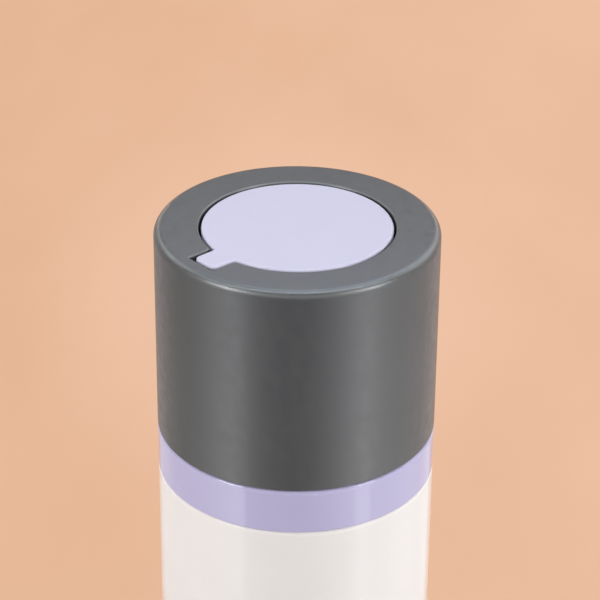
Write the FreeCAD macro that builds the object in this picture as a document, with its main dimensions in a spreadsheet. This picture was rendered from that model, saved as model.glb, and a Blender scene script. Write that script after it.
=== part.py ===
import FreeCAD, Part
import math
import os
import re
import Sketcher

# Twist-up airless pump bottle. Millimetres and degrees. The axis is +Z, the bottle stands on z = 0
# and the spout faces -Y. Turning the head lifts the cartridge with its pump and button; the button
# is then pressed down against the return spring.

SIZES = {
    # outside
    "body_diameter": 40.0,
    "bottle_height": 88.25,
    "ring_height": 6.72,
    "head_height": 31.03,
    "head_gap": 0.15,
    "top_round": 1.15,
    "base_round": 1.2,
    "lip_round": 0.65,
    "edge_round": 0.15,
    # clearances
    "fit_gap": 0.05,
    "run_gap": 0.1,
    # outer bottle, collar ring and base
    "bottle_wall": 2.4,
    "ring_wall": 1.2,
    "spigot_height": 4.0,
    "ring_clear": 0.4,
    "base_recess": 0.8,
    "base_rim": 3.6,
    "base_rim_wall": 1.4,
    "base_plate": 1.6,
    "bead_height": 1.0,
    "bead_depth": 0.25,
    "vent_diameter": 1.6,
    # twist head
    "shell_wall": 1.8,
    "shell_top": 2.4,
    "shell_ledge": 0.5,
    "rim_width": 6.24,
    "hole_round": 0.28,
    "hole_corner": 1.0,
    "key_width": 1.6,
    "key_depth": 0.5,
    "key_angle": 45.0,
    "cam_wall": 1.5,
    "cam_lift": 0.3,
    "cam_land": 1.8,
    "snap_height": 1.0,
    "snap_depth": 0.35,
    # guide sleeve
    "guide_wall": 1.4,
    "guide_flange": 1.2,
    "guide_skirt": 3.0,
    "guide_skirt_wall": 1.2,
    "guide_drop": 0.5,
    "lug_width": 3.0,
    "lug_depth": 0.55,
    "lug_count": 4,
    # twist and lift
    "twist_angle": 90.0,
    "pin_diameter": 2.6,
    "pin_gap": 0.25,
    "pin_recess": 0.3,
    "slot_land": 4.0,
    # button and spout
    "button_gap": 0.365,
    "button_thickness": 1.5,
    "button_edge": 0.38,
    "button_skirt": 12.5,
    "button_wall": 1.2,
    "tab_width": 4.2,
    "tab_end_gap": 0.62,
    "tab_corner": 1.1,
    "tab_root": 0.6,
    "spout_edge": 0.3,
    "spout_height": 6.2,
    "spout_clear": 1.2,
    "nozzle_diameter": 3.0,
    "nozzle_bore": 2.0,
    "nozzle_recess": 0.25,
    "nozzle_plug": 2.5,
    "press_stroke": 4.5,
    # button core
    "core_plate": 1.2,
    "core_arm": 4.2,
    "core_wall": 1.4,
    "core_seat": 1.4,
    "core_seat_lip": 0.3,
    "core_depth": 13.0,
    "stem_drop": 6.4,
    # cartridge
    "cart_gap": 0.25,
    "cart_wall": 1.2,
    "cart_lift": 0.4,
    "shoulder_wall": 1.4,
    "shoulder_gap": 0.6,
    "shoulder_round": 2.0,
    "neck_height": 9.0,
    "neck_wall": 1.6,
    "cart_base": 1.6,
    "carriage_wall": 1.4,
    "carriage_web": 1.4,
    "carriage_top_wall": 1.5,
    "gasket_thickness": 0.8,
    # follower
    "follower_height": 9.0,
    "follower_lip_gap": 0.06,
    "follower_lip": 0.9,
    "follower_lip_height": 1.0,
    "follower_wall": 1.2,
    "follower_web": 1.4,
    "follower_dish": 5.5,
    "follower_lift": 0.2,
    # pump
    "pump_bore": 8.8,
    "barrel_wall": 1.2,
    "barrel_rise": 2.6,
    "pump_flange": 1.2,
    "gland_wall": 0.7,
    "gland_plate": 1.3,
    "gland_skirt": 1.8,
    "stem_diameter": 5.2,
    "stem_spigot": 3.6,
    "stem_bore": 1.8,
    "piston_height": 4.0,
    "piston_groove": 0.9,
    "retainer_height": 1.2,
    "retainer_diameter": 6.6,
    "bottom_gap": 0.5,
    "cage_thickness": 1.2,
    "cage_hole": 1.5,
    "cage_hole_count": 5,
    "inlet_ball_diameter": 4.4,
    "inlet_lift": 0.8,
    "inlet_hole": 2.6,
    "inlet_wall": 1.2,
    "ball_side_gap": 0.4,
    "ball_gap": 0.04,
    "outlet_ball_diameter": 2.8,
    "outlet_lift": 0.8,
    "outlet_side_gap": 0.3,
    # return spring
    "spring_wire": 0.8,
    "spring_gap": 0.2,
    "spring_turns": 7.0,
    "spring_end_space": 0.5,
}

# Values worked out from the sizes, each from the ones above it.
LAYOUT = {
    "body_radius": "body_diameter / 2",
    "ring_top": "bottle_height + ring_height",
    "head_bottom": "ring_top + head_gap",
    "head_top": "ring_top + head_height",
    # radii of the nested sleeves, from the outside in
    "bottle_bore": "body_radius - bottle_wall",
    "spigot_radius": "body_radius - ring_wall",
    "shell_bore": "body_radius - shell_wall",
    "shell_upper_bore": "shell_bore - shell_ledge",
    "cam_radius": "shell_bore - fit_gap",
    "cam_bore": "cam_radius - cam_wall",
    "guide_radius": "cam_bore - run_gap",
    "guide_bore": "guide_radius - guide_wall",
    "carriage_radius": "guide_bore - run_gap",
    "carriage_bore": "carriage_radius - carriage_wall",
    "pin_tip": "cam_radius - pin_recess",
    "snap_radius": "guide_radius + snap_depth",
    "snap_groove": "snap_radius + run_gap",
    # button outline
    "hole_radius": "body_radius - rim_width",
    "button_radius": "hole_radius - button_gap",
    "button_bore": "button_radius - button_wall",
    "tab_reach": "shell_upper_bore - tab_end_gap",
    "slot_reach": "tab_reach + button_gap",
    "slot_width": "tab_width + 2 * button_gap",
    "slot_meet": "sqrt(hole_radius ^ 2 - slot_width ^ 2 / 4)",
    "tab_meet": "sqrt(button_radius ^ 2 - tab_width ^ 2 / 4)",
    "keel_reach": "sqrt(carriage_radius ^ 2 - tab_width ^ 2 / 4)",
    # heights on the outer bottle
    "spigot_top": "bottle_height + spigot_height",
    "guide_flange_top": "spigot_top + guide_flange",
    "guide_skirt_bottom": "spigot_top - guide_skirt",
    "spigot_bead_middle": "bottle_height + spigot_height / 2",
    "lug_reach": "bottle_bore + lug_depth",
    "base_top": "base_recess + base_rim",
    "base_plate_bottom": "base_top - base_plate",
    "base_bead_middle": "base_recess + base_rim / 2",
    # heights in the head
    "shell_ceiling": "head_top - shell_top",
    "cam_bottom": "head_bottom + cam_lift",
    "snap_lip_top": "cam_bottom + snap_height",
    "snap_bottom": "snap_lip_top + run_gap",
    "snap_top": "snap_bottom + snap_height",
    "snap_groove_top": "snap_top + run_gap",
    "pin_height": "snap_groove_top + cam_land + pin_diameter / 2",
    "pin_slot": "pin_diameter + 2 * pin_gap",
    "rise": "spout_height + spout_clear",
    "cam_top": "pin_height + rise + pin_slot / 2 + slot_land",
    "guide_top": "cam_top - guide_drop",
    "cam_margin": "asin(pin_slot / (cam_bore + cam_radius)) * 1deg^-1",
    "cam_pitch": "rise * 360 / twist_angle",
    "cam_run_angle": "twist_angle + 2 * cam_margin",
    "cam_run": "cam_pitch * cam_run_angle / 360",
    "cam_start": "pin_height - cam_pitch * cam_margin / 360",
    # button and its core
    "button_bottom": "head_top - button_skirt",
    "button_ceiling": "head_top - button_thickness",
    "spout_bottom": "head_top - spout_height",
    "nozzle_axis": "button_ceiling - core_arm / 2",
    "nozzle_radius": "nozzle_diameter / 2",
    "nozzle_hole": "nozzle_radius + fit_gap",
    "core_radius": "button_bore - fit_gap",
    "core_top": "button_ceiling - fit_gap",
    "arm_bottom": "core_top - core_arm",
    "seat_bottom": "arm_bottom - core_seat",
    "nozzle_start": "core_radius - nozzle_plug",
    "core_bottom": "head_top - core_depth",
    "stem_radius": "stem_diameter / 2",
    "core_socket": "stem_radius + fit_gap",
    "core_boss": "core_socket + core_wall",
    "stem_top": "head_top - stem_drop",
    "socket_top": "stem_top + fit_gap",
    # pump radii, from the axis out
    "barrel_bore": "pump_bore / 2",
    "barrel_radius": "barrel_bore + barrel_wall",
    "neck_bore": "barrel_radius + fit_gap",
    "neck_radius": "neck_bore + neck_wall",
    "clamp_bore": "neck_radius + fit_gap",
    "clamp_radius": "clamp_bore + carriage_wall",
    "gland_bore": "barrel_radius + fit_gap",
    "gland_radius": "gland_bore + gland_wall",
    "spring_radius": "gland_radius + spring_gap + spring_wire / 2",
    "core_seat_radius": "spring_radius + spring_wire / 2 + core_seat_lip",
    # cartridge heights
    "cart_bottom": "base_top + cart_lift",
    "cart_radius": "bottle_bore - cart_gap",
    "cart_bore": "cart_radius - cart_wall",
    "shoulder_top": "guide_skirt_bottom - rise - shoulder_gap",
    "chamber_top": "shoulder_top - shoulder_wall",
    "neck_top": "shoulder_top + neck_height",
    "neck_bead_middle": "shoulder_top + neck_height / 2",
    "clamp_bottom": "shoulder_top + shoulder_gap",
    "flange_bottom": "neck_top + gasket_thickness",
    "flange_top": "flange_bottom + pump_flange",
    "web_top": "flange_top + carriage_web",
    "carriage_top": "pin_height + pin_diameter / 2 + carriage_top_wall",
    "cart_base_radius": "cart_bore - fit_gap",
    "cart_base_top": "cart_bottom + cart_base",
    "cart_bead_middle": "cart_bottom + cart_base / 2",
    "follower_bottom": "cart_base_top + follower_lift",
    "follower_top": "follower_bottom + follower_height",
    "follower_radius": "cart_bore - follower_lip_gap",
    "follower_body": "follower_radius - follower_lip",
    "follower_bore": "follower_body - follower_wall",
    "follower_web_top": "follower_top - follower_dish",
    # pump heights, from the gland down
    "barrel_top": "web_top + barrel_rise",
    "gland_bottom": "barrel_top - gland_skirt",
    "gland_ceiling": "barrel_top + fit_gap",
    "gland_top": "gland_ceiling + gland_plate",
    "gland_hole": "stem_radius + run_gap",
    "piston_top": "barrel_top - run_gap",
    "piston_bottom": "piston_top - piston_height",
    "piston_bore": "stem_spigot / 2 + fit_gap",
    "piston_radius": "barrel_bore - follower_lip_gap",
    "retainer_top": "piston_bottom - fit_gap",
    "stem_bottom": "retainer_top - retainer_height",
    "cage_top": "stem_bottom - press_stroke - bottom_gap",
    "cage_bottom": "cage_top - cage_thickness",
    "cage_circle": "(barrel_bore + inlet_ball_diameter / 2) / 2",
    "inlet_height": "cage_bottom - ball_gap - inlet_lift - inlet_ball_diameter / 2",
    "inlet_pocket": "inlet_ball_diameter / 2 + ball_side_gap",
    "inlet_cone": "inlet_height - sqrt(2) * (inlet_ball_diameter / 2 + ball_gap)",
    "barrel_bottom": "inlet_cone + inlet_hole / 2 - inlet_wall",
    "outlet_height": "stem_top - ball_gap - outlet_lift - outlet_ball_diameter / 2",
    "outlet_pocket": "outlet_ball_diameter / 2 + outlet_side_gap",
    "outlet_cone": "outlet_height - sqrt(2) * (outlet_ball_diameter / 2 + ball_gap)",
    # spring ends
    "spring_bottom": "web_top + fit_gap",
    "spring_top": "seat_bottom - fit_gap",
}

os.makedirs("parts", exist_ok=True)
doc = FreeCAD.newDocument("airless_pump_bottle")
sheet = doc.addObject("Spreadsheet::Sheet", "sizes")
layout = doc.addObject("App::VarSet", "layout")


def bind(formula):
    """The formula with every name pointed at its cell or at its worked-out value."""

    def owner(match):
        name = match.group(0)
        if name in SIZES:
            return "sizes." + name
        if name in LAYOUT:
            return "layout." + name
        return name

    return re.sub(r"[a-z][a-z_]*[a-z]", owner, formula)


def value(formula):
    """The number that a formula gives with the present sizes."""
    return float(sheet.evalExpression(bind(formula)))


def fill_values():
    """Write the sizes in the sheet and the worked-out values beside it."""
    for row, (name, number) in enumerate(SIZES.items(), 1):
        sheet.set("A%d" % row, name)
        sheet.set("B%d" % row, str(number))
        sheet.setAlias("B%d" % row, name)
    doc.recompute()
    for name, formula in LAYOUT.items():
        layout.addProperty("App::PropertyFloat", name)
        layout.setExpression(name, bind(formula))
    doc.recompute()


def new_body(label):
    body = doc.addObject("PartDesign::Body", label)
    body.Label = label
    return body


def new_sketch(body, name, role, offset="0"):
    """A sketch on one of the body's own origin planes, moved along the plane's normal."""
    sketch = body.newObject("Sketcher::SketchObject", body.Label + "_" + name)
    planes = {plane.Role: plane for plane in body.Origin.OriginFeatures}
    sketch.AttachmentSupport = [(planes[role], "")]
    sketch.MapMode = "FlatFace"
    sketch.setExpression("AttachmentOffset.Base.z", bind(offset))
    return sketch


def hold_point(sketch, geometry, position, across, up):
    """Fix one point of the sketch at two bound distances from the origin."""
    for kind, formula in (("DistanceX", across), ("DistanceY", up)):
        place = value(formula)
        number = sketch.addConstraint(Sketcher.Constraint(kind, -1, 1, geometry, position, place))
        sketch.setExpression("Constraints[%d]" % number, bind(formula))


def draw_polygon(sketch, points):
    """A closed outline through bound points."""
    corners = [FreeCAD.Vector(value(across), value(up), 0) for across, up in points]
    count = len(corners)
    for index in range(count):
        sketch.addGeometry(Part.LineSegment(corners[index], corners[(index + 1) % count]), False)
    for index in range(count):
        sketch.addConstraint(Sketcher.Constraint("Coincident", index, 2, (index + 1) % count, 1))
    for index, (across, up) in enumerate(points):
        hold_point(sketch, index, 1, across, up)


def draw_box(sketch, left, right, low, high):
    draw_polygon(sketch, [(left, low), (right, low), (right, high), (left, high)])


def draw_circle(sketch, across, up, radius):
    centre = FreeCAD.Vector(value(across), value(up), 0)
    number = sketch.addGeometry(Part.Circle(centre, FreeCAD.Vector(0, 0, 1), value(radius)), False)
    hold_point(sketch, number, 3, across, up)
    rule = sketch.addConstraint(Sketcher.Constraint("Radius", number, value(radius)))
    sketch.setExpression("Constraints[%d]" % rule, bind(radius))


def finish_feature(body, feature):
    body.Tip = feature
    doc.recompute()
    return feature


def turned(label, points):
    """A body of revolution round the axis, from its (radius, height) outline."""
    body = new_body(label)
    sketch = new_sketch(body, "outline", "XZ_Plane")
    draw_polygon(sketch, points)
    feature = body.newObject("PartDesign::Revolution", label + "_turned")
    feature.Profile = sketch
    feature.ReferenceAxis = (sketch, ["V_Axis"])
    feature.Angle = 360
    finish_feature(body, feature)
    return body


def padded(body, name, sketch, length):
    feature = body.newObject("PartDesign::Pad", body.Label + "_" + name)
    feature.Profile = sketch
    feature.setExpression("Length", bind(length))
    return finish_feature(body, feature)


def pocketed(body, name, sketch, length=None, reverse=False):
    """A pocket of a bound length, or through everything on both sides."""
    before = body.Shape.Volume
    feature = body.newObject("PartDesign::Pocket", body.Label + "_" + name)
    feature.Profile = sketch
    feature.Reversed = reverse
    if length is None:
        feature.Type = "ThroughAll"
        feature.SideType = "Symmetric"
    else:
        feature.setExpression("Length", bind(length))
    finish_feature(body, feature)
    if body.Shape.Volume > before - 1e-6:
        raise ValueError("pocket removes nothing: " + feature.Name)
    return feature


def repeated(body, name, originals, count):
    """Repeat features round the axis of the bottle."""
    feature = body.newObject("PartDesign::PolarPattern", body.Label + "_" + name)
    feature.Originals = originals
    upright = next(item for item in body.Origin.OriginFeatures if item.Role == "Z_Axis")
    feature.Axis = (upright, [""])
    feature.Angle = 360
    feature.Occurrences = 2
    body.Tip = feature
    feature.setExpression("Occurrences", bind(count))
    return finish_feature(body, feature)


def rounded(body, name, radius, chosen):
    """Round the edges of the body that the test picks."""
    base = body.Tip
    edges = ["Edge%d" % number for number, edge in enumerate(base.Shape.Edges, 1) if chosen(edge)]
    if not edges:
        raise ValueError("no edge to round: " + name)
    feature = body.newObject("PartDesign::Fillet", body.Label + "_" + name)
    feature.Base = (base, edges)
    feature.setExpression("Radius", bind(radius))
    return finish_feature(body, feature)


def rim(radius, *heights):
    """Picks the full circles of one radius at the given heights."""
    size = value(radius)
    levels = [value(height) for height in heights]

    def chosen(edge):
        curve = edge.Curve
        if not isinstance(curve, Part.Circle) or abs(curve.Radius - size) > 1e-4:
            return False
        flat = abs(curve.Axis.z) > 0.99 and math.hypot(curve.Center.x, curve.Center.y) < 1e-6
        return flat and any(abs(curve.Center.z - level) < 1e-4 for level in levels)

    return chosen


def level_edges(height, near="0", far="body_diameter"):
    """Picks the edges at one height that reach past a near radius and stay inside a far one."""
    level = value(height)
    low = value(near)
    high = value(far)

    def chosen(edge):
        spots = [vertex.Point for vertex in edge.Vertexes]
        reaches = [math.hypot(spot.x, spot.y) for spot in spots]
        flat = all(abs(spot.z - level) < 1e-4 for spot in spots)
        return flat and low < max(reaches) < high

    return chosen


def upright_edges(across, forward):
    """Picks the upright edges at one distance to either side and one distance to the front."""
    side = value(across)
    front = -value(forward)

    def chosen(edge):
        spots = [vertex.Point for vertex in edge.Vertexes]
        level = len(spots) == 2 and abs(spots[0].z - spots[1].z) < 1e-4
        return not level and all(abs(abs(p.x) - side) < 1e-4 and abs(p.y - front) < 1e-4 for p in spots)

    return chosen


def ball(label, diameter, height):
    sphere = doc.addObject("Part::Sphere", label)
    sphere.Label = label
    sphere.setExpression("Radius", bind(diameter + " / 2"))
    sphere.setExpression("Placement.Base.z", bind(height))
    doc.recompute()
    return sphere


def bead(radius, middle, depth, height, upward):
    """Four corners of a shallow snap bead or groove on an outline, in the order it is drawn."""
    low = "%s - (%s) / 2" % (middle, height)
    high = "%s + (%s) / 2" % (middle, height)
    far = "%s + %s" % (radius, depth)
    corners = [(radius, low), (far, low + " + bead_depth"), (far, high + " - bead_depth"), (radius, high)]
    return corners if upward else corners[::-1]


def make_outer_bottle():
    outline = [
        ("bottle_bore", "0"),
        ("body_radius", "0"),
        ("body_radius", "bottle_height"),
        ("spigot_radius", "bottle_height"),
    ]
    outline += bead("spigot_radius", "spigot_bead_middle", "bead_depth", "bead_height", True)
    outline += [("spigot_radius", "spigot_top"), ("bottle_bore", "spigot_top")]
    outline += bead("bottle_bore", "base_bead_middle", "bead_depth", "bead_height + 2 * fit_gap", False)
    body = turned("outer_bottle", outline)
    rounded(body, "foot", "base_round", rim("body_radius", "0"))
    rounded(body, "lip", "lip_round", rim("body_radius", "bottle_height"))
    notch = new_sketch(body, "notch", "XY_Plane", "spigot_top")
    wide = "lug_width / 2 + fit_gap"
    draw_box(notch, "bottle_bore - bottle_wall / 2", "lug_reach + fit_gap", "-(%s)" % wide, wide)
    cut = pocketed(body, "notch_cut", notch, "guide_skirt + fit_gap")
    repeated(body, "notches", [cut], "lug_count")
    return body


def make_base_cap():
    plug = "bottle_bore - fit_gap"
    bore = plug + " - base_rim_wall"
    outline = [
        ("vent_diameter / 2", "base_plate_bottom"),
        (bore, "base_plate_bottom"),
        (bore, "base_recess"),
        (plug, "base_recess"),
    ]
    outline += bead(plug, "base_bead_middle", "bead_depth", "bead_height", True)
    outline += [(plug, "base_top"), ("vent_diameter / 2", "base_top")]
    body = turned("base_cap", outline)
    rounded(body, "edge", "edge_round", rim(plug, "base_recess"))
    return body


def make_collar_ring():
    socket = "spigot_radius + fit_gap"
    hole = "guide_radius + ring_clear"
    web = "guide_flange_top + fit_gap"
    outline = [
        (socket, "bottle_height"),
        ("body_radius", "bottle_height"),
        ("body_radius", "ring_top"),
        (hole, "ring_top"),
        (hole, web),
        (socket, web),
    ]
    outline += bead(socket, "spigot_bead_middle", "bead_depth", "bead_height + 2 * fit_gap", False)
    body = turned("collar_ring", outline)
    rounded(body, "foot", "edge_round", rim("body_radius", "bottle_height"))
    rounded(body, "lip", "lip_round", rim("body_radius", "ring_top"))
    return body


def make_guide_sleeve():
    """Fixed sleeve: flange under the collar ring, lugs in the bottle, snap rib, upright pin slots."""
    skirt = "bottle_bore - fit_gap"
    skirt_bore = skirt + " - guide_skirt_wall"
    body = turned("guide_sleeve", [
        (skirt_bore, "guide_skirt_bottom"),
        (skirt, "guide_skirt_bottom"),
        (skirt, "spigot_top"),
        ("spigot_radius", "spigot_top"),
        ("spigot_radius", "guide_flange_top"),
        ("guide_radius", "guide_flange_top"),
        ("guide_radius", "snap_bottom"),
        ("snap_radius", "snap_bottom"),
        ("guide_radius", "snap_top"),
        ("guide_radius", "guide_top"),
        ("guide_bore", "guide_top"),
        ("guide_bore", "spigot_top"),
        (skirt_bore, "spigot_top"),
    ])
    slot = new_sketch(body, "slot", "YZ_Plane")
    low = "pin_height - pin_slot / 2"
    high = "pin_height + rise + pin_slot / 2"
    draw_box(slot, "-pin_slot / 2", "pin_slot / 2", low, high)
    pocketed(body, "slots", slot)
    lug = new_sketch(body, "lug", "XY_Plane", "guide_skirt_bottom")
    draw_box(lug, skirt + " - guide_skirt_wall / 2", "lug_reach", "-lug_width / 2", "lug_width / 2")
    block = padded(body, "lug_block", lug, "guide_skirt")
    repeated(body, "lugs", [block], "lug_count")
    return body


def make_twist_shell():
    """Grey head: a cup with a keyhole opening, a ledge and two key ribs for the cam sleeve."""
    ledge = "cam_top + fit_gap"
    body = turned("twist_shell", [
        ("shell_bore", "head_bottom"),
        ("body_radius", "head_bottom"),
        ("body_radius", "head_top"),
        ("0", "head_top"),
        ("0", "shell_ceiling"),
        ("shell_upper_bore", "shell_ceiling"),
        ("shell_upper_bore", ledge),
        ("shell_bore", ledge),
    ])
    hole = new_sketch(body, "hole", "XY_Plane", "head_top")
    draw_circle(hole, "0", "0", "hole_radius")
    pocketed(body, "opening", hole, "shell_top")
    slot = new_sketch(body, "slot", "XY_Plane", "head_top")
    draw_box(slot, "-slot_width / 2", "slot_width / 2", "-slot_reach", "-button_bore")
    pocketed(body, "spout_slot", slot, "shell_top")
    rounded(body, "hole_corners", "hole_corner", upright_edges("slot_width / 2", "slot_meet"))
    rounded(body, "hole_edge", "hole_round", level_edges("head_top", "0", "body_radius - top_round / 2"))
    rounded(body, "top_edge", "top_round", rim("body_radius", "head_top"))
    rounded(body, "foot_edge", "edge_round", rim("body_radius", "head_bottom"))
    keys = new_sketch(body, "key", "XY_Plane", "cam_bottom")
    turn_sketch(keys, "key_angle")
    draw_box(keys, "shell_bore - key_depth", "shell_bore + shell_wall / 2", "-key_width / 2", "key_width / 2")
    rib = padded(body, "rib", keys, "cam_top - cam_bottom")
    repeated(body, "ribs", [rib], "2")
    return body


def turn_sketch(sketch, angle):
    """Turn a flat sketch round the bottle's axis."""
    offset = sketch.AttachmentOffset
    offset.Rotation = FreeCAD.Rotation(FreeCAD.Vector(0, 0, 1), value(angle))
    sketch.AttachmentOffset = offset
    sketch.setExpression("AttachmentOffset.Rotation.Angle", bind(angle))
    doc.recompute()


def make_cam_sleeve():
    """Sleeve keyed in the head: a snap lip under the guide's rib and two helical pin slots."""
    body = turned("cam_sleeve", [
        ("cam_bore", "cam_bottom"),
        ("cam_radius", "cam_bottom"),
        ("cam_radius", "cam_top"),
        ("cam_bore", "cam_top"),
        ("cam_bore", "snap_groove_top"),
        ("snap_groove", "snap_groove_top"),
        ("snap_groove", "snap_lip_top"),
        ("cam_bore", "snap_lip_top"),
    ])
    keyway = new_sketch(body, "keyway", "XY_Plane", "cam_top")
    turn_sketch(keyway, "key_angle")
    wide = "key_width / 2 + fit_gap"
    draw_box(keyway, "shell_bore - key_depth - fit_gap", "body_radius", "-(%s)" % wide, wide)
    key = pocketed(body, "keyway_cut", keyway, "cam_top - cam_bottom")
    repeated(body, "keyways", [key], "2")
    profile = new_sketch(body, "profile", "XZ_Plane")
    offset = FreeCAD.Placement(FreeCAD.Vector(), FreeCAD.Rotation(FreeCAD.Vector(0, 1, 0), 1))
    profile.AttachmentOffset = offset
    profile.setExpression("AttachmentOffset.Rotation.Angle", bind("cam_margin"))
    low = "cam_start - pin_slot / 2"
    high = "cam_start + pin_slot / 2"
    draw_box(profile, "cam_bore - cam_wall / 2", "cam_radius + cam_wall / 2", low, high)
    slot = body.newObject("PartDesign::SubtractiveHelix", "cam_sleeve_slot")
    slot.Profile = profile
    slot.ReferenceAxis = (profile, ["V_Axis"])
    slot.Mode = 0
    slot.LeftHanded = True
    slot.setExpression("Pitch", bind("cam_pitch"))
    slot.setExpression("Height", bind("cam_run"))
    finish_feature(body, slot)
    repeated(body, "slots", [slot], "2")
    return body


def make_lift_carriage():
    """Cup with two pins; its lower collar snaps on the cartridge neck and clamps the pump."""
    outline = [
        ("clamp_bore", "clamp_bottom"),
        ("clamp_radius", "clamp_bottom"),
        ("clamp_radius", "flange_top"),
        ("carriage_radius", "flange_top"),
        ("carriage_radius", "carriage_top"),
        ("carriage_bore", "carriage_top"),
        ("carriage_bore", "web_top"),
        ("gland_bore", "web_top"),
        ("gland_bore", "flange_top"),
        ("clamp_bore", "flange_top"),
    ]
    outline += bead("clamp_bore", "neck_bead_middle", "bead_depth", "bead_height + 2 * fit_gap", False)
    body = turned("lift_carriage", outline)
    root = "carriage_radius - carriage_wall / 2"
    pin = new_sketch(body, "pin", "YZ_Plane", root)
    draw_circle(pin, "0", "pin_height", "pin_diameter / 2")
    stub = padded(body, "pin_stub", pin, "pin_tip - (%s)" % root)
    repeated(body, "pins", [stub], "2")
    return body


def make_inner_bottle():
    outline = [
        ("cart_bore", "cart_bottom"),
        ("cart_radius", "cart_bottom"),
        ("cart_radius", "shoulder_top"),
        ("neck_radius", "shoulder_top"),
    ]
    outline += bead("neck_radius", "neck_bead_middle", "bead_depth", "bead_height", True)
    outline += [
        ("neck_radius", "neck_top"),
        ("neck_bore", "neck_top"),
        ("neck_bore", "chamber_top"),
        ("cart_bore", "chamber_top"),
    ]
    outline += bead("cart_bore", "cart_bead_middle", "bead_depth", "bead_height + 2 * fit_gap", False)
    body = turned("inner_bottle", outline)
    rounded(body, "shoulder", "shoulder_round", rim("cart_radius", "shoulder_top"))
    return body


def make_cartridge_base():
    outline = [("vent_diameter / 2", "cart_bottom"), ("cart_base_radius", "cart_bottom")]
    outline += bead("cart_base_radius", "cart_bead_middle", "bead_depth", "bead_height", True)
    outline += [("cart_base_radius", "cart_base_top"), ("vent_diameter / 2", "cart_base_top")]
    return turned("cartridge_base", outline)


def make_follower_piston():
    """Dished piston with a sealing lip at either end."""
    low_lip = "follower_bottom + follower_lip_height"
    high_lip = "follower_top - follower_lip_height"
    edge = "follower_radius - follower_lip / 2"
    web_bottom = "follower_web_top - follower_web"
    return turned("follower_piston", [
        ("follower_radius", "follower_bottom"),
        ("follower_radius", low_lip),
        ("follower_body", low_lip + " + follower_lip"),
        ("follower_body", high_lip + " - follower_lip"),
        ("follower_radius", high_lip),
        ("follower_radius", "follower_top"),
        (edge, "follower_top"),
        ("follower_bore", high_lip + " - follower_lip"),
        ("follower_bore", "follower_web_top"),
        ("0", "follower_web_top"),
        ("0", web_bottom),
        ("follower_bore", web_bottom),
        ("follower_bore", low_lip + " + follower_lip"),
        (edge, "follower_bottom"),
    ])


def make_neck_gasket():
    return turned("neck_gasket", [
        ("neck_bore", "neck_top"),
        ("neck_radius", "neck_top"),
        ("neck_radius", "flange_bottom"),
        ("neck_bore", "flange_bottom"),
    ])


def make_pump_housing():
    """Flanged barrel with a coned inlet seat at its foot."""
    return turned("pump_housing", [
        ("inlet_hole / 2", "barrel_bottom"),
        ("inlet_pocket", "barrel_bottom"),
        ("barrel_radius", "inlet_cone + inlet_pocket"),
        ("barrel_radius", "flange_bottom"),
        ("neck_radius", "flange_bottom"),
        ("neck_radius", "flange_top"),
        ("barrel_radius", "flange_top"),
        ("barrel_radius", "barrel_top"),
        ("barrel_bore", "barrel_top"),
        ("barrel_bore", "cage_bottom"),
        ("inlet_pocket", "cage_bottom"),
        ("inlet_pocket", "inlet_cone + inlet_pocket"),
        ("inlet_hole / 2", "inlet_cone + inlet_hole / 2"),
    ])


def make_inlet_cage():
    disc = "barrel_bore - fit_gap"
    body = turned("inlet_cage", [
        ("0", "cage_bottom"),
        (disc, "cage_bottom"),
        (disc, "cage_top"),
        ("0", "cage_top"),
    ])
    hole = new_sketch(body, "hole", "XY_Plane", "cage_top")
    draw_circle(hole, "cage_circle", "0", "cage_hole / 2")
    cut = pocketed(body, "hole_cut", hole, "cage_thickness")
    repeated(body, "holes", [cut], "cage_hole_count")
    return body


def make_pump_gland():
    return turned("pump_gland", [
        ("gland_bore", "gland_bottom"),
        ("gland_radius", "gland_bottom"),
        ("gland_radius", "gland_top"),
        ("gland_hole", "gland_top"),
        ("gland_hole", "gland_ceiling"),
        ("gland_bore", "gland_ceiling"),
    ])


def make_pump_stem():
    """Hollow stem: a spigot for the piston below, the coned outlet chamber above."""
    return turned("pump_stem", [
        ("stem_bore / 2", "stem_bottom"),
        ("stem_spigot / 2", "stem_bottom"),
        ("stem_spigot / 2", "piston_top + fit_gap"),
        ("stem_radius", "piston_top + fit_gap"),
        ("stem_radius", "stem_top"),
        ("outlet_pocket", "stem_top"),
        ("outlet_pocket", "outlet_cone + outlet_pocket"),
        ("stem_bore / 2", "outlet_cone + stem_bore / 2"),
    ])


def make_pump_piston():
    """Seal with a waist between its two lips."""
    waist = "piston_radius - piston_groove"
    return turned("pump_piston", [
        ("piston_bore", "piston_bottom"),
        ("piston_radius", "piston_bottom"),
        (waist, "piston_bottom + piston_groove"),
        (waist, "piston_top - piston_groove"),
        ("piston_radius", "piston_top"),
        ("piston_bore", "piston_top"),
    ])


def make_piston_retainer():
    return turned("piston_retainer", [
        ("piston_bore", "stem_bottom"),
        ("retainer_diameter / 2", "stem_bottom"),
        ("retainer_diameter / 2", "retainer_top"),
        ("piston_bore", "retainer_top"),
    ])


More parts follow.
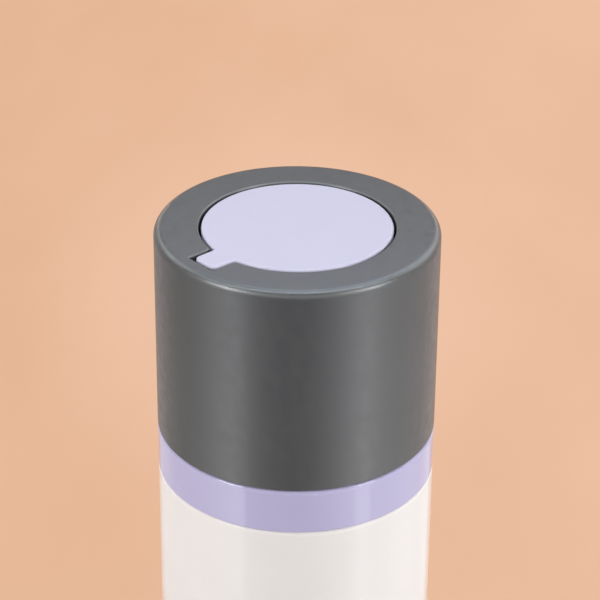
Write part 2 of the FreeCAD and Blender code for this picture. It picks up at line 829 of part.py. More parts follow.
def make_actuator_cap():
    """Lilac button: a skirted disc with a hollow square spout and a keel below it."""
    body = turned("actuator_cap", [
        ("button_bore", "button_bottom"),
        ("button_radius", "button_bottom"),
        ("button_radius", "head_top"),
        ("0", "head_top"),
        ("0", "button_ceiling"),
        ("button_bore", "button_ceiling"),
    ])
    root = "-(button_radius - button_wall / 2)"
    spout = new_sketch(body, "spout", "XY_Plane", "spout_bottom")
    draw_box(spout, "-tab_width / 2", "tab_width / 2", "-tab_reach", root)
    padded(body, "spout_block", spout, "spout_height")
    rounded(body, "spout_corners", "tab_corner", upright_edges("tab_width / 2", "tab_reach"))
    rounded(body, "spout_roots", "tab_root", upright_edges("tab_width / 2", "tab_meet"))
    rounded(body, "top_edge", "button_edge", level_edges("head_top"))
    keel = new_sketch(body, "keel", "XY_Plane", "button_bottom")
    draw_box(keel, "-tab_width / 2", "tab_width / 2", "-keel_reach", root)
    padded(body, "keel_block", keel, "spout_bottom - button_bottom")
    rounded(body, "spout_foot", "spout_edge", level_edges("spout_bottom", "carriage_radius + fit_gap"))
    bore = new_sketch(body, "bore", "XZ_Plane", "button_bore - button_wall")
    draw_circle(bore, "0", "nozzle_axis", "nozzle_hole")
    pocketed(body, "bore_cut", bore, "tab_reach", True)
    return body


def make_actuator_core():
    """Insert in the button: plate, stem socket, spring seat and the channel to the spout."""
    body = turned("actuator_core", [
        ("core_socket", "core_bottom"),
        ("core_boss", "core_bottom"),
        ("core_boss", "seat_bottom"),
        ("core_seat_radius", "seat_bottom"),
        ("core_seat_radius", "arm_bottom"),
        ("core_boss", "arm_bottom"),
        ("core_boss", "core_top - core_plate"),
        ("core_radius", "core_top - core_plate"),
        ("core_radius", "core_top"),
        ("0", "core_top"),
        ("0", "nozzle_axis"),
        ("nozzle_bore / 2", "nozzle_axis"),
        ("nozzle_bore / 2", "socket_top"),
        ("core_socket", "socket_top"),
    ])
    arm = new_sketch(body, "arm", "XZ_Plane", "core_boss - core_wall / 2")
    draw_box(arm, "-core_arm / 2", "core_arm / 2", "arm_bottom", "core_top - core_plate / 2")
    reach = "sqrt(core_radius ^ 2 - core_arm ^ 2 / 4)"
    padded(body, "arm_bar", arm, reach + " - (core_boss - core_wall / 2)")
    plug = new_sketch(body, "plug", "XZ_Plane", "nozzle_start")
    draw_circle(plug, "0", "nozzle_axis", "nozzle_hole")
    pocketed(body, "plug_hole", plug, "nozzle_plug", True)
    channel = new_sketch(body, "channel", "XZ_Plane")
    draw_circle(channel, "0", "nozzle_axis", "nozzle_bore / 2")
    pocketed(body, "channel_cut", channel, "nozzle_start", True)
    return body


def make_nozzle_insert():
    body = new_body("nozzle_insert")
    ring = new_sketch(body, "ring", "XZ_Plane", "nozzle_start + fit_gap")
    draw_circle(ring, "0", "nozzle_axis", "nozzle_radius")
    draw_circle(ring, "0", "nozzle_axis", "nozzle_bore / 2")
    padded(body, "tube", ring, "tab_reach - nozzle_recess - nozzle_start - fit_gap")
    return body


def arc_mid(start, end, tangent):
    """The middle point of the arc that leaves start along a tangent and ends at end."""
    chord = end - start
    along = chord * (1 / chord.Length)
    lean = tangent.dot(along)
    side = tangent - along * lean
    if side.Length < 1e-9:
        return (start + end) * 0.5
    bulge = 0.5 * chord.Length * math.tan(0.5 * math.acos(max(-1.0, min(1.0, lean))))
    return (start + end) * 0.5 + side * (bulge / side.Length)


def biarc(start, start_dir, end, end_dir):
    """Two arcs that join two points with their tangents."""
    chord = end - start
    both = start_dir + end_dir
    spread = 2 * (1 - start_dir.dot(end_dir))
    pull = chord.dot(both)
    reach = (math.sqrt(pull ** 2 + spread * chord.dot(chord)) - pull) / spread
    middle = (start + end + (start_dir - end_dir) * reach) * 0.5
    first = Part.Arc(start, arc_mid(start, middle, start_dir), middle)
    second = Part.Arc(middle, arc_mid(end, middle, end_dir * -1), end)
    return [first.toShape(), second.toShape()]


def spring_height(turn, turns, low, high, end_pitch):
    """Height of the wire's centre: one close turn at either end, even turns between."""
    rise = high - low
    even_pitch = (rise - 2 * end_pitch) / (turns - 2)
    blend = 0.5
    steps = 40
    height = low
    step = turn / steps
    for index in range(steps):
        place = (index + 0.5) * step
        edge = min(place, turns - place)
        share = min(1.0, max(0.0, (edge - 1 + blend / 2) / blend))
        height += step * (end_pitch + (even_pitch - end_pitch) * share)
    return height


def spring_path():
    """Points and tangents of the wire, every quarter turn."""
    radius = value("spring_radius")
    turns = value("spring_turns")
    low = value("spring_bottom + spring_wire / 2")
    high = value("spring_top - spring_wire / 2")
    end_pitch = value("spring_wire + spring_end_space")
    nudge = 0.01
    stretch = (high - low) / (spring_height(turns, turns, low, high, end_pitch) - low)
    spots = []
    for quarter in range(int(round(turns * 4)) + 1):
        turn = quarter / 4
        angle = 2 * math.pi * turn
        here = spring_height(turn, turns, low, high, end_pitch)
        after = spring_height(min(turn + nudge, turns), turns, low, high, end_pitch)
        before = spring_height(max(turn - nudge, 0), turns, low, high, end_pitch)
        span = min(turn + nudge, turns) - max(turn - nudge, 0)
        slope = stretch * (after - before) / span / (2 * math.pi * radius)
        point = FreeCAD.Vector(radius * math.cos(angle), radius * math.sin(angle), low + stretch * (here - low))
        tangent = FreeCAD.Vector(-math.sin(angle), math.cos(angle), slope).normalize()
        spots.append((point, tangent))
    return spots


def least_gap(path, wire):
    """Least gap of the wire to itself, measured on points along its centre line."""
    marks = path.discretize(Distance=0.4)
    reach = 8
    gap = min((marks[a] - marks[b]).Length for a in range(len(marks)) for b in range(a + reach, len(marks)))
    return gap - wire


def make_return_spring():
    """Coil spring as one tube along quarter-turn biarcs, with a close turn at either end."""
    spots = spring_path()
    arcs = []
    for (start, start_dir), (end, end_dir) in zip(spots, spots[1:]):
        arcs += biarc(start, start_dir, end, end_dir)
    path = Part.Wire(arcs)
    wire = value("spring_wire")
    ring = Part.Wire(Part.makeCircle(wire / 2, spots[0][0], spots[0][1]))
    spring = doc.addObject("Part::Feature", "return_spring")
    spring.Label = "return_spring"
    spring.Shape = path.makePipeShell([ring], True, False)
    print("return_spring least gap to itself: %.2f mm" % least_gap(path, wire))
    return spring


def export(parts):
    """Check every part and write it under its own name."""
    doc.recompute()
    for entry in doc.Objects:
        if "Invalid" in entry.State or "Error" in entry.State:
            raise ValueError("failed: " + entry.Name)
    for part in parts:
        shape = part.Shape
        if shape.isNull() or not shape.isValid() or len(shape.Solids) != 1:
            raise ValueError("bad solid: " + part.Label)
        shape.exportStep("parts/%s.step" % part.Label)


fill_values()
export([
    make_outer_bottle(),
    make_base_cap(),
    make_collar_ring(),
    make_guide_sleeve(),
    make_twist_shell(),
    make_cam_sleeve(),
    make_lift_carriage(),
    make_inner_bottle(),
    make_cartridge_base(),
    make_follower_piston(),
    make_neck_gasket(),
    make_pump_housing(),
    make_inlet_cage(),
    ball("inlet_ball", "inlet_ball_diameter", "inlet_height"),
    make_pump_gland(),
    make_pump_stem(),
    make_pump_piston(),
    make_piston_retainer(),
    ball("outlet_ball", "outlet_ball_diameter", "outlet_height"),
    make_return_spring(),
    make_actuator_cap(),
    make_actuator_core(),
    make_nozzle_insert(),
])
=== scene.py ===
import math

import bpy
from mathutils import Matrix, Vector


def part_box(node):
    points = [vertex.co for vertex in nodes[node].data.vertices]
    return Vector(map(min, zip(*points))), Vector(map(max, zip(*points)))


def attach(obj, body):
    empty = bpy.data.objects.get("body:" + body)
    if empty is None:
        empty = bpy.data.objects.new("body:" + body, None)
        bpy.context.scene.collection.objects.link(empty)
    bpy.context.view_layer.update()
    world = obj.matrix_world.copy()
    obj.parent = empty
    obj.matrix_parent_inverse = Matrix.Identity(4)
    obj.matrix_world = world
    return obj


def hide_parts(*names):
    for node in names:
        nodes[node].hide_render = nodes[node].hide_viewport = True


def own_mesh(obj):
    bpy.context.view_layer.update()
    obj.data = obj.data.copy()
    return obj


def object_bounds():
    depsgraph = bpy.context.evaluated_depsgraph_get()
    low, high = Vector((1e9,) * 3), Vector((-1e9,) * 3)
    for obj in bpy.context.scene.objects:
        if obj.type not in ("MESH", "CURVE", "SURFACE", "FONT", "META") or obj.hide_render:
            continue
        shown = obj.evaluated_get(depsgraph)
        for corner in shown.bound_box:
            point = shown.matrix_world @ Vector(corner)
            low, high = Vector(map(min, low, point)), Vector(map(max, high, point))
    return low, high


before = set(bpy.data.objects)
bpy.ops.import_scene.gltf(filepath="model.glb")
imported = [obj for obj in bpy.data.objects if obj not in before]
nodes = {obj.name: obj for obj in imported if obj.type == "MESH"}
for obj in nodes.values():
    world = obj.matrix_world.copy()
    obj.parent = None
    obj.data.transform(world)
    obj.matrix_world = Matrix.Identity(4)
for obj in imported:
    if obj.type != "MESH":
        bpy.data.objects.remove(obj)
cad_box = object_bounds()
scene = bpy.context.scene
scene.view_settings.view_transform = "Standard"

# The camera, fitted to the photograph. Its distance is in metres; its focal length and the place of the
# centre of the head's top are in pixels of the picture.
PICTURE = 600.0
SENSOR = 36.0
NEAR_CLIP = 0.01
CAMERA_AZIMUTH = math.radians(48.0)
CAMERA_ELEVATION = math.radians(26.807)
CAMERA_ROLL = math.radians(-0.486)
CAMERA_DISTANCE = 0.328569
FOCAL = 2367.38
HEAD_AT = (297.51, 225.25)

# Backdrop: its even tone, its tones to the left and right of the bottle, painted darker to the left and lighter
# to the right as light falloff, and for scattered light.
PEACH = (0.806, 0.497, 0.332)
PEACH_SHADED_LEFT, PEACH_LIT_RIGHT = (0.782, 0.468, 0.303), (0.848, 0.528, 0.364)
PALE = (0.65, 0.61, 0.58)

# Light of the room, the same from all sides.
ROOM, ROOM_STRENGTH = (1.0, 0.985, 0.96), 0.39

# Most of a noise texture lies between these two values.
NOISE_LOW, NOISE_HIGH = 0.3, 0.7


def photo_camera():
    """Camera of the photograph: it stands off the centre of the head's top and aims a little below it."""
    across, up = HEAD_AT[0] - PICTURE / 2, PICTURE / 2 - HEAD_AT[1]
    cos_roll, sin_roll = math.cos(CAMERA_ROLL), math.sin(CAMERA_ROLL)
    turned = (cos_roll * across + sin_roll * up, cos_roll * up - sin_roll * across)
    pitch = CAMERA_ELEVATION + math.atan2(turned[1], math.hypot(FOCAL, turned[0]))
    yaw = CAMERA_AZIMUTH + math.atan2(turned[0], FOCAL * math.cos(pitch) + turned[1] * math.sin(pitch))
    forward = Vector((-math.sin(yaw) * math.cos(pitch), math.cos(yaw) * math.cos(pitch), -math.sin(pitch)))
    level = Vector((math.cos(yaw), math.sin(yaw), 0.0))
    above = level.cross(forward)
    right = cos_roll * level - sin_roll * above
    top = sin_roll * level + cos_roll * above
    data = bpy.data.cameras.new("photo_camera")
    data.sensor_width = SENSOR
    data.lens = FOCAL / PICTURE * SENSOR
    data.clip_start = NEAR_CLIP
    camera = bpy.data.objects.new("photo_camera", data)
    scene.collection.objects.link(camera)
    place = Matrix((right, top, -forward)).transposed().to_4x4()
    back = math.cos(CAMERA_ELEVATION) * bearing(0.0) + Vector((0.0, 0.0, math.sin(CAMERA_ELEVATION)))
    place.translation = Vector((0.0, 0.0, cad_box[1].z)) + CAMERA_DISTANCE * back
    camera.matrix_world = place
    scene.camera = camera


def bearing(angle):
    """Level direction from the bottle, measured to the camera's right from the line to the camera."""
    turn = CAMERA_AZIMUTH + math.radians(angle)
    return Vector((math.sin(turn), -math.cos(turn), 0.0))


def nodes_of(material):
    material.use_nodes = True
    tree = material.node_tree
    return tree, tree.nodes["Principled BSDF"]


def add(tree, kind, values=None, **settings):
    """New shader node with its settings made and some of its sockets filled."""
    node = tree.nodes.new("ShaderNode" + kind)
    for name, value in settings.items():
        setattr(node, name, value)
    for name, value in (values or {}).items():
        node.inputs[name].default_value = value
    return node


def noise(tree, scale, detail=2.0, stretch=(1.0, 1.0, 1.0), turn=0.0):
    """Noise in the piece's own coordinates, in metres, turned about the upright axis and then stretched."""
    place = add(tree, "TexCoord")
    inverse = tuple(1.0 / factor for factor in stretch)
    mapping = add(tree, "Mapping", {"Rotation": (0.0, 0.0, turn), "Scale": inverse}, vector_type="TEXTURE")
    texture = add(tree, "TexNoise", {"Scale": scale, "Detail": detail})
    tree.links.new(place.outputs["Object"], mapping.inputs["Vector"])
    tree.links.new(mapping.outputs["Vector"], texture.inputs["Vector"])
    return texture.outputs["Fac"]


def ranged(tree, source, start, end, low, high, interpolation="LINEAR"):
    """Value that goes from low to high while the source goes from start to end."""
    limits = {"From Min": start, "From Max": end, "To Min": low, "To Max": high}
    span = add(tree, "MapRange", limits, interpolation_type=interpolation)
    tree.links.new(source, span.inputs["Value"])
    return span.outputs["Result"]


def spread(tree, source, low, high):
    """The noise's middle range stretched to two limits."""
    return ranged(tree, source, NOISE_LOW, NOISE_HIGH, low, high)


def tinted(tree, source, first, second):
    """Colour that wanders between two near tones."""
    ramp = add(tree, "ValToRGB")
    stops = ramp.color_ramp.elements
    stops[0].position, stops[1].position = NOISE_LOW, NOISE_HIGH
    stops[0].color, stops[1].color = (*first, 1.0), (*second, 1.0)
    tree.links.new(source, ramp.inputs["Fac"])
    return ramp.outputs["Color"]


def scaled(colour, factor):
    return tuple(channel * factor for channel in colour)


def bumped(tree, source, depth, below=None):
    """Normal with the source as relief, on top of another relief if there is one."""
    bump = add(tree, "Bump", {"Distance": depth})
    tree.links.new(source, bump.inputs["Height"])
    if below is not None:
        tree.links.new(below, bump.inputs["Normal"])
    return bump.outputs["Normal"]


def combined(tree, operation, first, second):
    """One number made of two."""
    both = add(tree, "Math", operation=operation)
    tree.links.new(first, both.inputs[0])
    tree.links.new(second, both.inputs[1])
    return both.outputs["Value"]


def plastic(name, colour, shift, roughness, rough_shift, grain, grain_depth,
            sink=0.0, sink_depth=0.0, specular=0.5, ior=1.5):
    """Moulded plastic: faint drift of colour and gloss, a fine tool grain, and sink waves where it has any."""
    drift_scale, gloss_scale = 140.0, 650.0
    material = bpy.data.materials.new(name)
    tree, shader = nodes_of(material)
    shader.inputs["IOR"].default_value = ior
    shader.inputs["Specular IOR Level"].default_value = specular
    drift = noise(tree, drift_scale, detail=3.0)
    tone = tinted(tree, drift, scaled(colour, 1.0 - shift), scaled(colour, 1.0 + shift))
    tree.links.new(tone, shader.inputs["Base Color"])
    gloss = noise(tree, gloss_scale, detail=4.0)
    rough = spread(tree, gloss, roughness - rough_shift, roughness + rough_shift)
    tree.links.new(rough, shader.inputs["Roughness"])
    normal = bumped(tree, noise(tree, grain), grain_depth)
    if sink:
        normal = bumped(tree, noise(tree, sink, detail=1.0), sink_depth, normal)
    tree.links.new(normal, shader.inputs["Normal"])
    return material


def rubber(name, colour):
    """Soft seal: dull, a little cloudy, with a fine skin."""
    cloud_scale, dark, pale = 400.0, 0.94, 1.04
    dull_scale, smoothest, roughest = 1500.0, 0.55, 0.7
    skin_scale, skin_depth = 5000.0, 4e-6
    material = bpy.data.materials.new(name)
    tree, shader = nodes_of(material)
    cloud = noise(tree, cloud_scale, detail=4.0)
    tone = tinted(tree, cloud, scaled(colour, dark), scaled(colour, pale))
    tree.links.new(tone, shader.inputs["Base Color"])
    dull = noise(tree, dull_scale, detail=3.0)
    tree.links.new(spread(tree, dull, smoothest, roughest), shader.inputs["Roughness"])
    tree.links.new(bumped(tree, noise(tree, skin_scale), skin_depth), shader.inputs["Normal"])
    return material


def drawn_steel(name):
    """Bright wire with faint drawing marks."""
    mark_scale, mark_stretch, mark_depth = 900.0, (1.0, 1.0, 6.0), 3e-6
    dark, pale, smoothest, roughest = (0.56, 0.56, 0.57), (0.68, 0.68, 0.69), 0.22, 0.36
    material = bpy.data.materials.new(name)
    tree, shader = nodes_of(material)
    shader.inputs["Metallic"].default_value = 1.0
    marks = noise(tree, mark_scale, detail=4.0, stretch=mark_stretch)
    tree.links.new(tinted(tree, marks, dark, pale), shader.inputs["Base Color"])
    tree.links.new(spread(tree, marks, smoothest, roughest), shader.inputs["Roughness"])
    tree.links.new(bumped(tree, marks, mark_depth), shader.inputs["Normal"])
    return material


FINISHES = {
    "grey_satin": plastic(
        "grey_satin", (0.030, 0.031, 0.032), shift=0.07, roughness=0.36, rough_shift=0.05,
        grain=5200.0, grain_depth=9e-6, sink=520.0, sink_depth=5e-6, specular=1.0, ior=1.6),
    "lilac_satin": plastic(
        "lilac_satin", (0.519, 0.491, 0.616), shift=0.012, roughness=0.42, rough_shift=0.04,
        grain=4200.0, grain_depth=5e-6),
    "lilac_gloss": plastic(
        "lilac_gloss", (0.495, 0.460, 0.690), shift=0.012, roughness=0.07, rough_shift=0.02,
        grain=2600.0, grain_depth=6e-7, sink=90.0, sink_depth=1.2e-5, specular=0.75),
    "white_gloss": plastic(
        "white_gloss", (0.858, 0.822, 0.804), shift=0.008, roughness=0.14, rough_shift=0.03,
        grain=2600.0, grain_depth=6e-7, sink=70.0, sink_depth=1.5e-5, specular=0.45),
    "natural_plastic": plastic(
        "natural_plastic", (0.760, 0.765, 0.745), shift=0.02, roughness=0.38, rough_shift=0.06,
        grain=2400.0, grain_depth=4e-6),
    "soft_seal": rubber("soft_seal", (0.74, 0.745, 0.73)),
    "steel": drawn_steel("steel"),
}


def dress():
    """Each node keeps the finish that the record gives it, now with its full material."""
    for node in nodes.values():
        for slot in node.material_slots:
            slot.material = FINISHES[slot.material.name.split(".")[0]]


def spring():
    """Coil spring with closed end turns, in drawn wire, carried with the cartridge."""
    low, high = (corner.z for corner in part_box("return_spring"))
    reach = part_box("return_spring")[1].x
    wire, turns, steps, sides = 0.0004, 7.0, 84, 14
    closed_rise, open_rise, closed_turns = 0.0013, 0.0040, 0.6
    count = int(turns * steps)
    radius = reach - wire
    gaps = []
    for step in range(count):
        from_end = min(step / steps, turns - step / steps)
        gaps.append(closed_rise + open_rise * min(1.0, max(0.0, from_end - closed_turns)))
    scale = (high - low - 2 * wire) / sum(gaps)
    points, faces, height = [], [], low + wire
    for step in range(count + 1):
        turn = 2 * math.pi * step / steps
        out = Vector((math.cos(turn), math.sin(turn), 0.0))
        along = Vector((-math.sin(turn), math.cos(turn), 0.0)) * radius
        along.z = gaps[min(step, count - 1)] * scale * steps / (2 * math.pi)
        up = out.cross(along.normalized()) * -1.0
        centre = out * radius + Vector((0.0, 0.0, height))
        for side in range(sides):
            angle = 2 * math.pi * side / sides
            points.append(centre + wire * (math.cos(angle) * out + math.sin(angle) * up))
        if step:
            first = (step - 1) * sides
            for side in range(sides):
                here, there = first + side, first + (side + 1) % sides
                faces.append((here, there, there + sides, here + sides))
        if step < count:
            height += gaps[step] * scale
    faces += [tuple(reversed(range(sides))), tuple(range(count * sides, (count + 1) * sides))]
    mesh = bpy.data.meshes.new("spring_coil")
    mesh.from_pydata(points, [], faces)
    for face in mesh.polygons[:-2]:
        face.use_smooth = True
    mesh.materials.append(FINISHES["steel"])
    coil = bpy.data.objects.new("spring_coil", mesh)
    scene.collection.objects.link(coil)
    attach(coil, "cartridge")
    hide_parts("return_spring")
    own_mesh(coil)


def seen_or_mirrored(tree):
    """1 for rays from the camera or by way of gloss or glass, 0 for scattered light."""
    path = add(tree, "LightPath")
    total = path.outputs["Is Camera Ray"]
    for name in ("Is Glossy Ray", "Is Transmission Ray"):
        total = combined(tree, "MAXIMUM", total, path.outputs[name])
    return total


def paper_tones(tree, place):
    """Tones of the paper, plain and as lit by the lamps: painted light falloff makes them darker to the left and
    lighter to the right, with faint mottling.
    """
    mottle_scale, mottle_stretch, mottle_low, mottle_high = 28.0, (1.0, 0.42, 1.0), 0.41, 0.59
    painted_falloff_per_metre, lit_share = 1.7, 0.83
    across = add(tree, "VectorMath", {1: bearing(90.0)}, operation="DOT_PRODUCT")
    tree.links.new(place, across.inputs[0])
    mottle = noise(tree, mottle_scale, detail=4.0, stretch=mottle_stretch, turn=CAMERA_AZIMUTH)
    # Painted light falloff: the tone grows lighter towards the camera's right, with the mottling added on.
    lean = add(tree, "Math", {1: painted_falloff_per_metre}, operation="MULTIPLY_ADD")
    tree.links.new(across.outputs["Value"], lean.inputs[0])
    tree.links.new(spread(tree, mottle, mottle_low, mottle_high), lean.inputs[2])
    shade = lean.outputs["Value"]
    plain = tinted(tree, shade, PEACH_SHADED_LEFT, PEACH_LIT_RIGHT)
    lit = tinted(tree, shade, scaled(PEACH_SHADED_LEFT, lit_share), scaled(PEACH_LIT_RIGHT, lit_share))
    return plain, lit


def with_painted_light_pool(tree, place, paper):
    """The paper's tone with a faint painted pool of light, a paler oval that lies behind the bottle."""
    behind, leftward, size = 0.215, 0.006, (0.066, 0.125, 1.0)
    inner, outer, lift = 0.45, 1.0, 0.038
    centre = behind * bearing(180.0) + leftward * bearing(-90.0)
    oval = {"Location": centre, "Rotation": (0.0, 0.0, CAMERA_AZIMUTH), "Scale": size}
    pool = add(tree, "Mapping", oval, vector_type="TEXTURE")
    tree.links.new(place, pool.inputs["Vector"])
    spot = add(tree, "VectorMath", operation="LENGTH")
    tree.links.new(pool.outputs["Vector"], spot.inputs[0])
    # Painted light: the pool is palest inside the inner edge and fades out to the outer edge.
    amount = ranged(tree, spot.outputs["Value"], inner, outer, lift, 0.0, "SMOOTHSTEP")
    paler = add(tree, "Mix", data_type="RGBA", blend_type="ADD")
    paler.inputs["B"].default_value = (1.0, 1.0, 1.0, 1.0)
    tree.links.new(amount, paler.inputs["Factor"])
    tree.links.new(paper, paler.inputs["A"])
    return paler.outputs["Result"]


def floor():
    """Wide sheet of peach paper, lit near the bottle. Further out it fades into the glow of the backdrop."""
    reach, fade_start, fade_end = 4.0, 0.03, 0.12
    mesh = bpy.data.meshes.new("floor")
    corners = [(-reach, -reach, 0), (reach, -reach, 0), (reach, reach, 0), (-reach, reach, 0)]
    mesh.from_pydata(corners, [], [(0, 1, 2, 3)])
    sheet = bpy.data.objects.new("floor", mesh)
    scene.collection.objects.link(sheet)
    material = bpy.data.materials.new("peach_paper")
    tree, shader = nodes_of(material)
    shader.inputs["Roughness"].default_value = 0.9
    shader.inputs["Specular IOR Level"].default_value = 0.1
    seen = seen_or_mirrored(tree)
    place = add(tree, "TexCoord").outputs["Object"]
    paper, lit = paper_tones(tree, place)
    tone = add(tree, "Mix", data_type="RGBA")
    tone.inputs["A"].default_value = (*PALE, 1.0)
    tree.links.new(seen, tone.inputs["Factor"])
    tree.links.new(lit, tone.inputs["B"])
    tree.links.new(tone.outputs["Result"], shader.inputs["Base Color"])
    glow = add(tree, "Emission")
    # The backdrop's glow carries the painted pool of light and the painted left-to-right light falloff.
    tree.links.new(with_painted_light_pool(tree, place, paper), glow.inputs["Color"])
    length = add(tree, "VectorMath", operation="LENGTH")
    tree.links.new(place, length.inputs[0])
    fade = ranged(tree, length.outputs["Value"], fade_start, fade_end, 0.0, 1.0, "SMOOTHSTEP")
    mix = add(tree, "MixShader")
    tree.links.new(combined(tree, "MULTIPLY", fade, seen), mix.inputs["Fac"])
    tree.links.new(shader.outputs["BSDF"], mix.inputs[1])
    tree.links.new(glow.outputs["Emission"], mix.inputs[2])
    tree.links.new(mix.outputs["Shader"], tree.nodes["Material Output"].inputs["Surface"])
    mesh.materials.append(material)


def surround():
    """Even room light. The camera sees the peach backdrop all round; gloss and glass see it to its top edge."""
    edge_start, edge_end = 0.16, 0.30
    world = bpy.data.worlds.new("room")
    scene.world = world
    world.use_nodes = True
    tree = world.node_tree
    room = tree.nodes["Background"]
    room.inputs["Color"].default_value = (*ROOM, 1.0)
    room.inputs["Strength"].default_value = ROOM_STRENGTH
    drop = add(tree, "Background", {"Color": (*PEACH, 1.0), "Strength": 1.0})
    place = add(tree, "TexCoord")
    parts = add(tree, "SeparateXYZ")
    tree.links.new(place.outputs["Generated"], parts.inputs["Vector"])
    edge = ranged(tree, parts.outputs["Z"], edge_start, edge_end, 1.0, 0.0)
    low = combined(tree, "MULTIPLY", edge, seen_or_mirrored(tree))
    path = add(tree, "LightPath")
    shown = combined(tree, "MAXIMUM", path.outputs["Is Camera Ray"], low)
    mix = add(tree, "MixShader")
    tree.links.new(shown, mix.inputs["Fac"])
    tree.links.new(room.outputs["Background"], mix.inputs[1])
    tree.links.new(drop.outputs["Background"], mix.inputs[2])
    tree.links.new(mix.outputs["Shader"], tree.nodes["World Output"].inputs["Surface"])


# Brightness of the tent's cloth by its angle from the camera's line, in degrees, left to right: two bright
# seams at the front, softer sides.
TENT = [
    (-145.0, (0.80, 0.72, 0.70)), (-126.0, (0.78, 0.69, 0.67)), (-116.0, (0.70, 0.60, 0.57)),
    (-112.2, (0.68, 0.60, 0.56)), (-111.8, (0.60, 0.57, 0.55)), (-90.0, (0.57, 0.55, 0.53)),
    (-72.0, (0.84, 0.84, 0.85)), (-58.0, (1.34, 1.35, 1.39)), (-49.8, (1.42, 1.43, 1.47)),
    (-49.2, (1.70, 1.73, 1.77)), (-38.3, (1.66, 1.69, 1.73)), (-37.7, (0.68, 0.68, 0.72)),
    (-16.0, (0.46, 0.47, 0.50)), (0.0, (0.37, 0.38, 0.41)), (16.0, (0.52, 0.53, 0.56)),
    (27.0, (0.86, 0.87, 0.91)), (45.2, (1.36, 1.37, 1.43)), (45.8, (2.02, 2.04, 2.09)),
    (57.6, (2.02, 2.04, 2.09)), (58.2, (1.28, 1.29, 1.33)), (80.0, (0.98, 0.97, 0.98)),
    (103.0, (0.90, 0.85, 0.82)), (111.2, (0.87, 0.81, 0.78)), (111.6, (0.80, 0.66, 0.63)),
    (125.0, (0.92, 0.79, 0.75)), (140.0, (1.08, 0.93, 0.88)),
]


def tent():
    """Cloth of a light tent round the bottle's front and sides, which only gloss shows."""
    radius, foot, height, steps = 0.10, 0.0005, 0.145, 96
    low_z, high_z, low_share, high_share = 0.035, 0.085, 1.05, 0.90
    mesh = bpy.data.meshes.new("tent")
    points, faces = [], []
    for step in range(steps + 1):
        turn = math.radians(TENT[0][0] + (TENT[-1][0] - TENT[0][0]) * step / steps)
        points += [(radius * math.cos(turn), radius * math.sin(turn), z) for z in (foot, height)]
        if step:
            low = 2 * step
            faces.append((low - 2, low, low + 1, low - 1))
    mesh.from_pydata(points, [], faces)
    cloth = bpy.data.objects.new("tent", mesh)
    scene.collection.objects.link(cloth)
    cloth.rotation_euler = (0.0, 0.0, CAMERA_AZIMUTH - math.pi / 2)
    cloth.visible_camera = cloth.visible_diffuse = cloth.visible_shadow = False
    cloth.visible_transmission = cloth.visible_volume_scatter = False
    material = bpy.data.materials.new("tent_cloth")
    material.use_nodes = True
    tree = material.node_tree
    tree.nodes.remove(tree.nodes["Principled BSDF"])
    place = add(tree, "TexCoord").outputs["Object"]
    turn = add(tree, "TexGradient", gradient_type="RADIAL")
    ramp = add(tree, "ValToRGB")
    brightest = max(max(tone) for angle, tone in TENT)
    stops = ramp.color_ramp.elements
    stops[0].position, stops[1].position = (0.5 + TENT[end][0] / 360.0 for end in (0, -1))
    for angle, tone in TENT[1:-1]:
        stops.new(0.5 + angle / 360.0)
    for stop, (angle, tone) in zip(stops, TENT):
        stop.color = [channel / brightest for channel in tone] + [1.0]
    glow = add(tree, "Emission")
    parts = add(tree, "SeparateXYZ")
    tree.links.new(place, parts.inputs["Vector"])
    level = ranged(tree, parts.outputs["Z"], low_z, high_z, low_share * brightest, high_share * brightest)
    tree.links.new(level, glow.inputs["Strength"])
    tree.links.new(place, turn.inputs["Vector"])
    tree.links.new(turn.outputs["Fac"], ramp.inputs["Fac"])
    tree.links.new(ramp.outputs["Color"], glow.inputs["Color"])
    tree.links.new(glow.outputs["Emission"], tree.nodes["Material Output"].inputs["Surface"])
    mesh.materials.append(material)


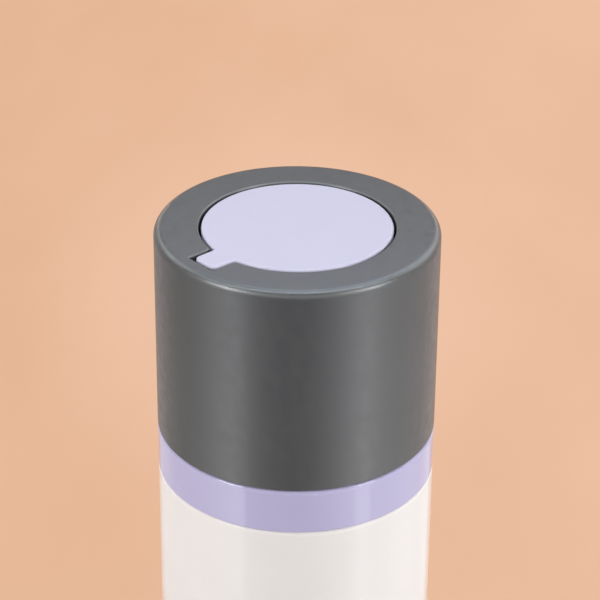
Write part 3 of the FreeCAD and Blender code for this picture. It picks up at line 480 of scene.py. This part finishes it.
# Two keys with a brighter core for gloss alone, a wide box overhead, soft front and sides, cool cards behind:
# name, bearing and elevation in degrees, distance, width, height, radiance, colour, and what shows it.
LAMPS = [
    ("key_right", 59.0, 30.0, 0.62, 0.21, 0.25, 5.35, (0.97, 0.985, 1.0), "all"),
    ("core_right", 59.0, 30.0, 0.60, 0.19, 0.24, 3.6, (0.92, 0.97, 1.0), "gloss"),
    ("key_left", -58.0, 30.0, 0.62, 0.21, 0.25, 5.35, (0.97, 0.985, 1.0), "all"),
    ("core_left", -58.0, 30.0, 0.60, 0.19, 0.24, 5.2, (0.92, 0.97, 1.0), "gloss"),
    ("top_box", 0.0, 90.0, 0.56, 0.95, 0.145, 4.95, (0.805, 0.925, 1.0), "all"),
    ("front_box", 0.0, 30.0, 0.90, 1.20, 0.70, 0.76, (1.0, 1.0, 1.0), "all"),
    ("side_right", 100.0, 14.0, 0.60, 0.40, 0.36, 2.6, (1.0, 1.0, 1.0), "scatter"),
    ("side_left", -100.0, 14.0, 0.60, 0.40, 0.36, 1.9, (1.0, 0.85, 0.80), "scatter"),
    ("back_box", 165.5, 57.0, 0.22, 0.18, 0.16, 1.84, (0.73, 0.82, 1.0), "gloss"),
    ("rim_left", -130.0, 37.0, 0.40, 0.25, 0.19, 1.9, (0.91, 0.97, 1.0), "gloss"),
    ("low_right", 156.0, 13.0, 0.45, 0.15, 0.11, 1.45, (0.95, 0.98, 1.0), "gloss"),
    ("low_left", -156.0, 13.0, 0.45, 0.15, 0.11, 1.45, (0.95, 0.98, 1.0), "gloss"),
    ("rim_right", 126.0, 32.0, 0.40, 0.27, 0.24, 1.85, (0.92, 0.97, 1.0), "gloss"),
]


def lights():
    """Soft boxes of a given radiance, aimed at the head, each with its width level."""
    aim_height = 0.11
    for name, angle, elevation, distance, width, tall, radiance, colour, shown_by in LAMPS:
        data = bpy.data.lights.new(name, "AREA")
        data.shape = "RECTANGLE"
        data.size, data.size_y = width, tall
        data.energy = radiance * math.pi * width * tall
        data.color = colour
        light = bpy.data.objects.new(name, data)
        light.visible_camera = False
        light.visible_diffuse = shown_by != "gloss"
        light.visible_glossy = shown_by != "scatter"
        scene.collection.objects.link(light)
        lift = math.radians(elevation)
        back = math.cos(lift) * bearing(angle) + Vector((0.0, 0.0, math.sin(lift)))
        level = bearing(angle + 90.0)
        place = Matrix((level, back.cross(level), back)).transposed().to_4x4()
        place.translation = Vector((0.0, 0.0, aim_height)) + distance * back
        light.matrix_world = place


photo_camera()
dress()
spring()
floor()
surround()
tent()
lights()
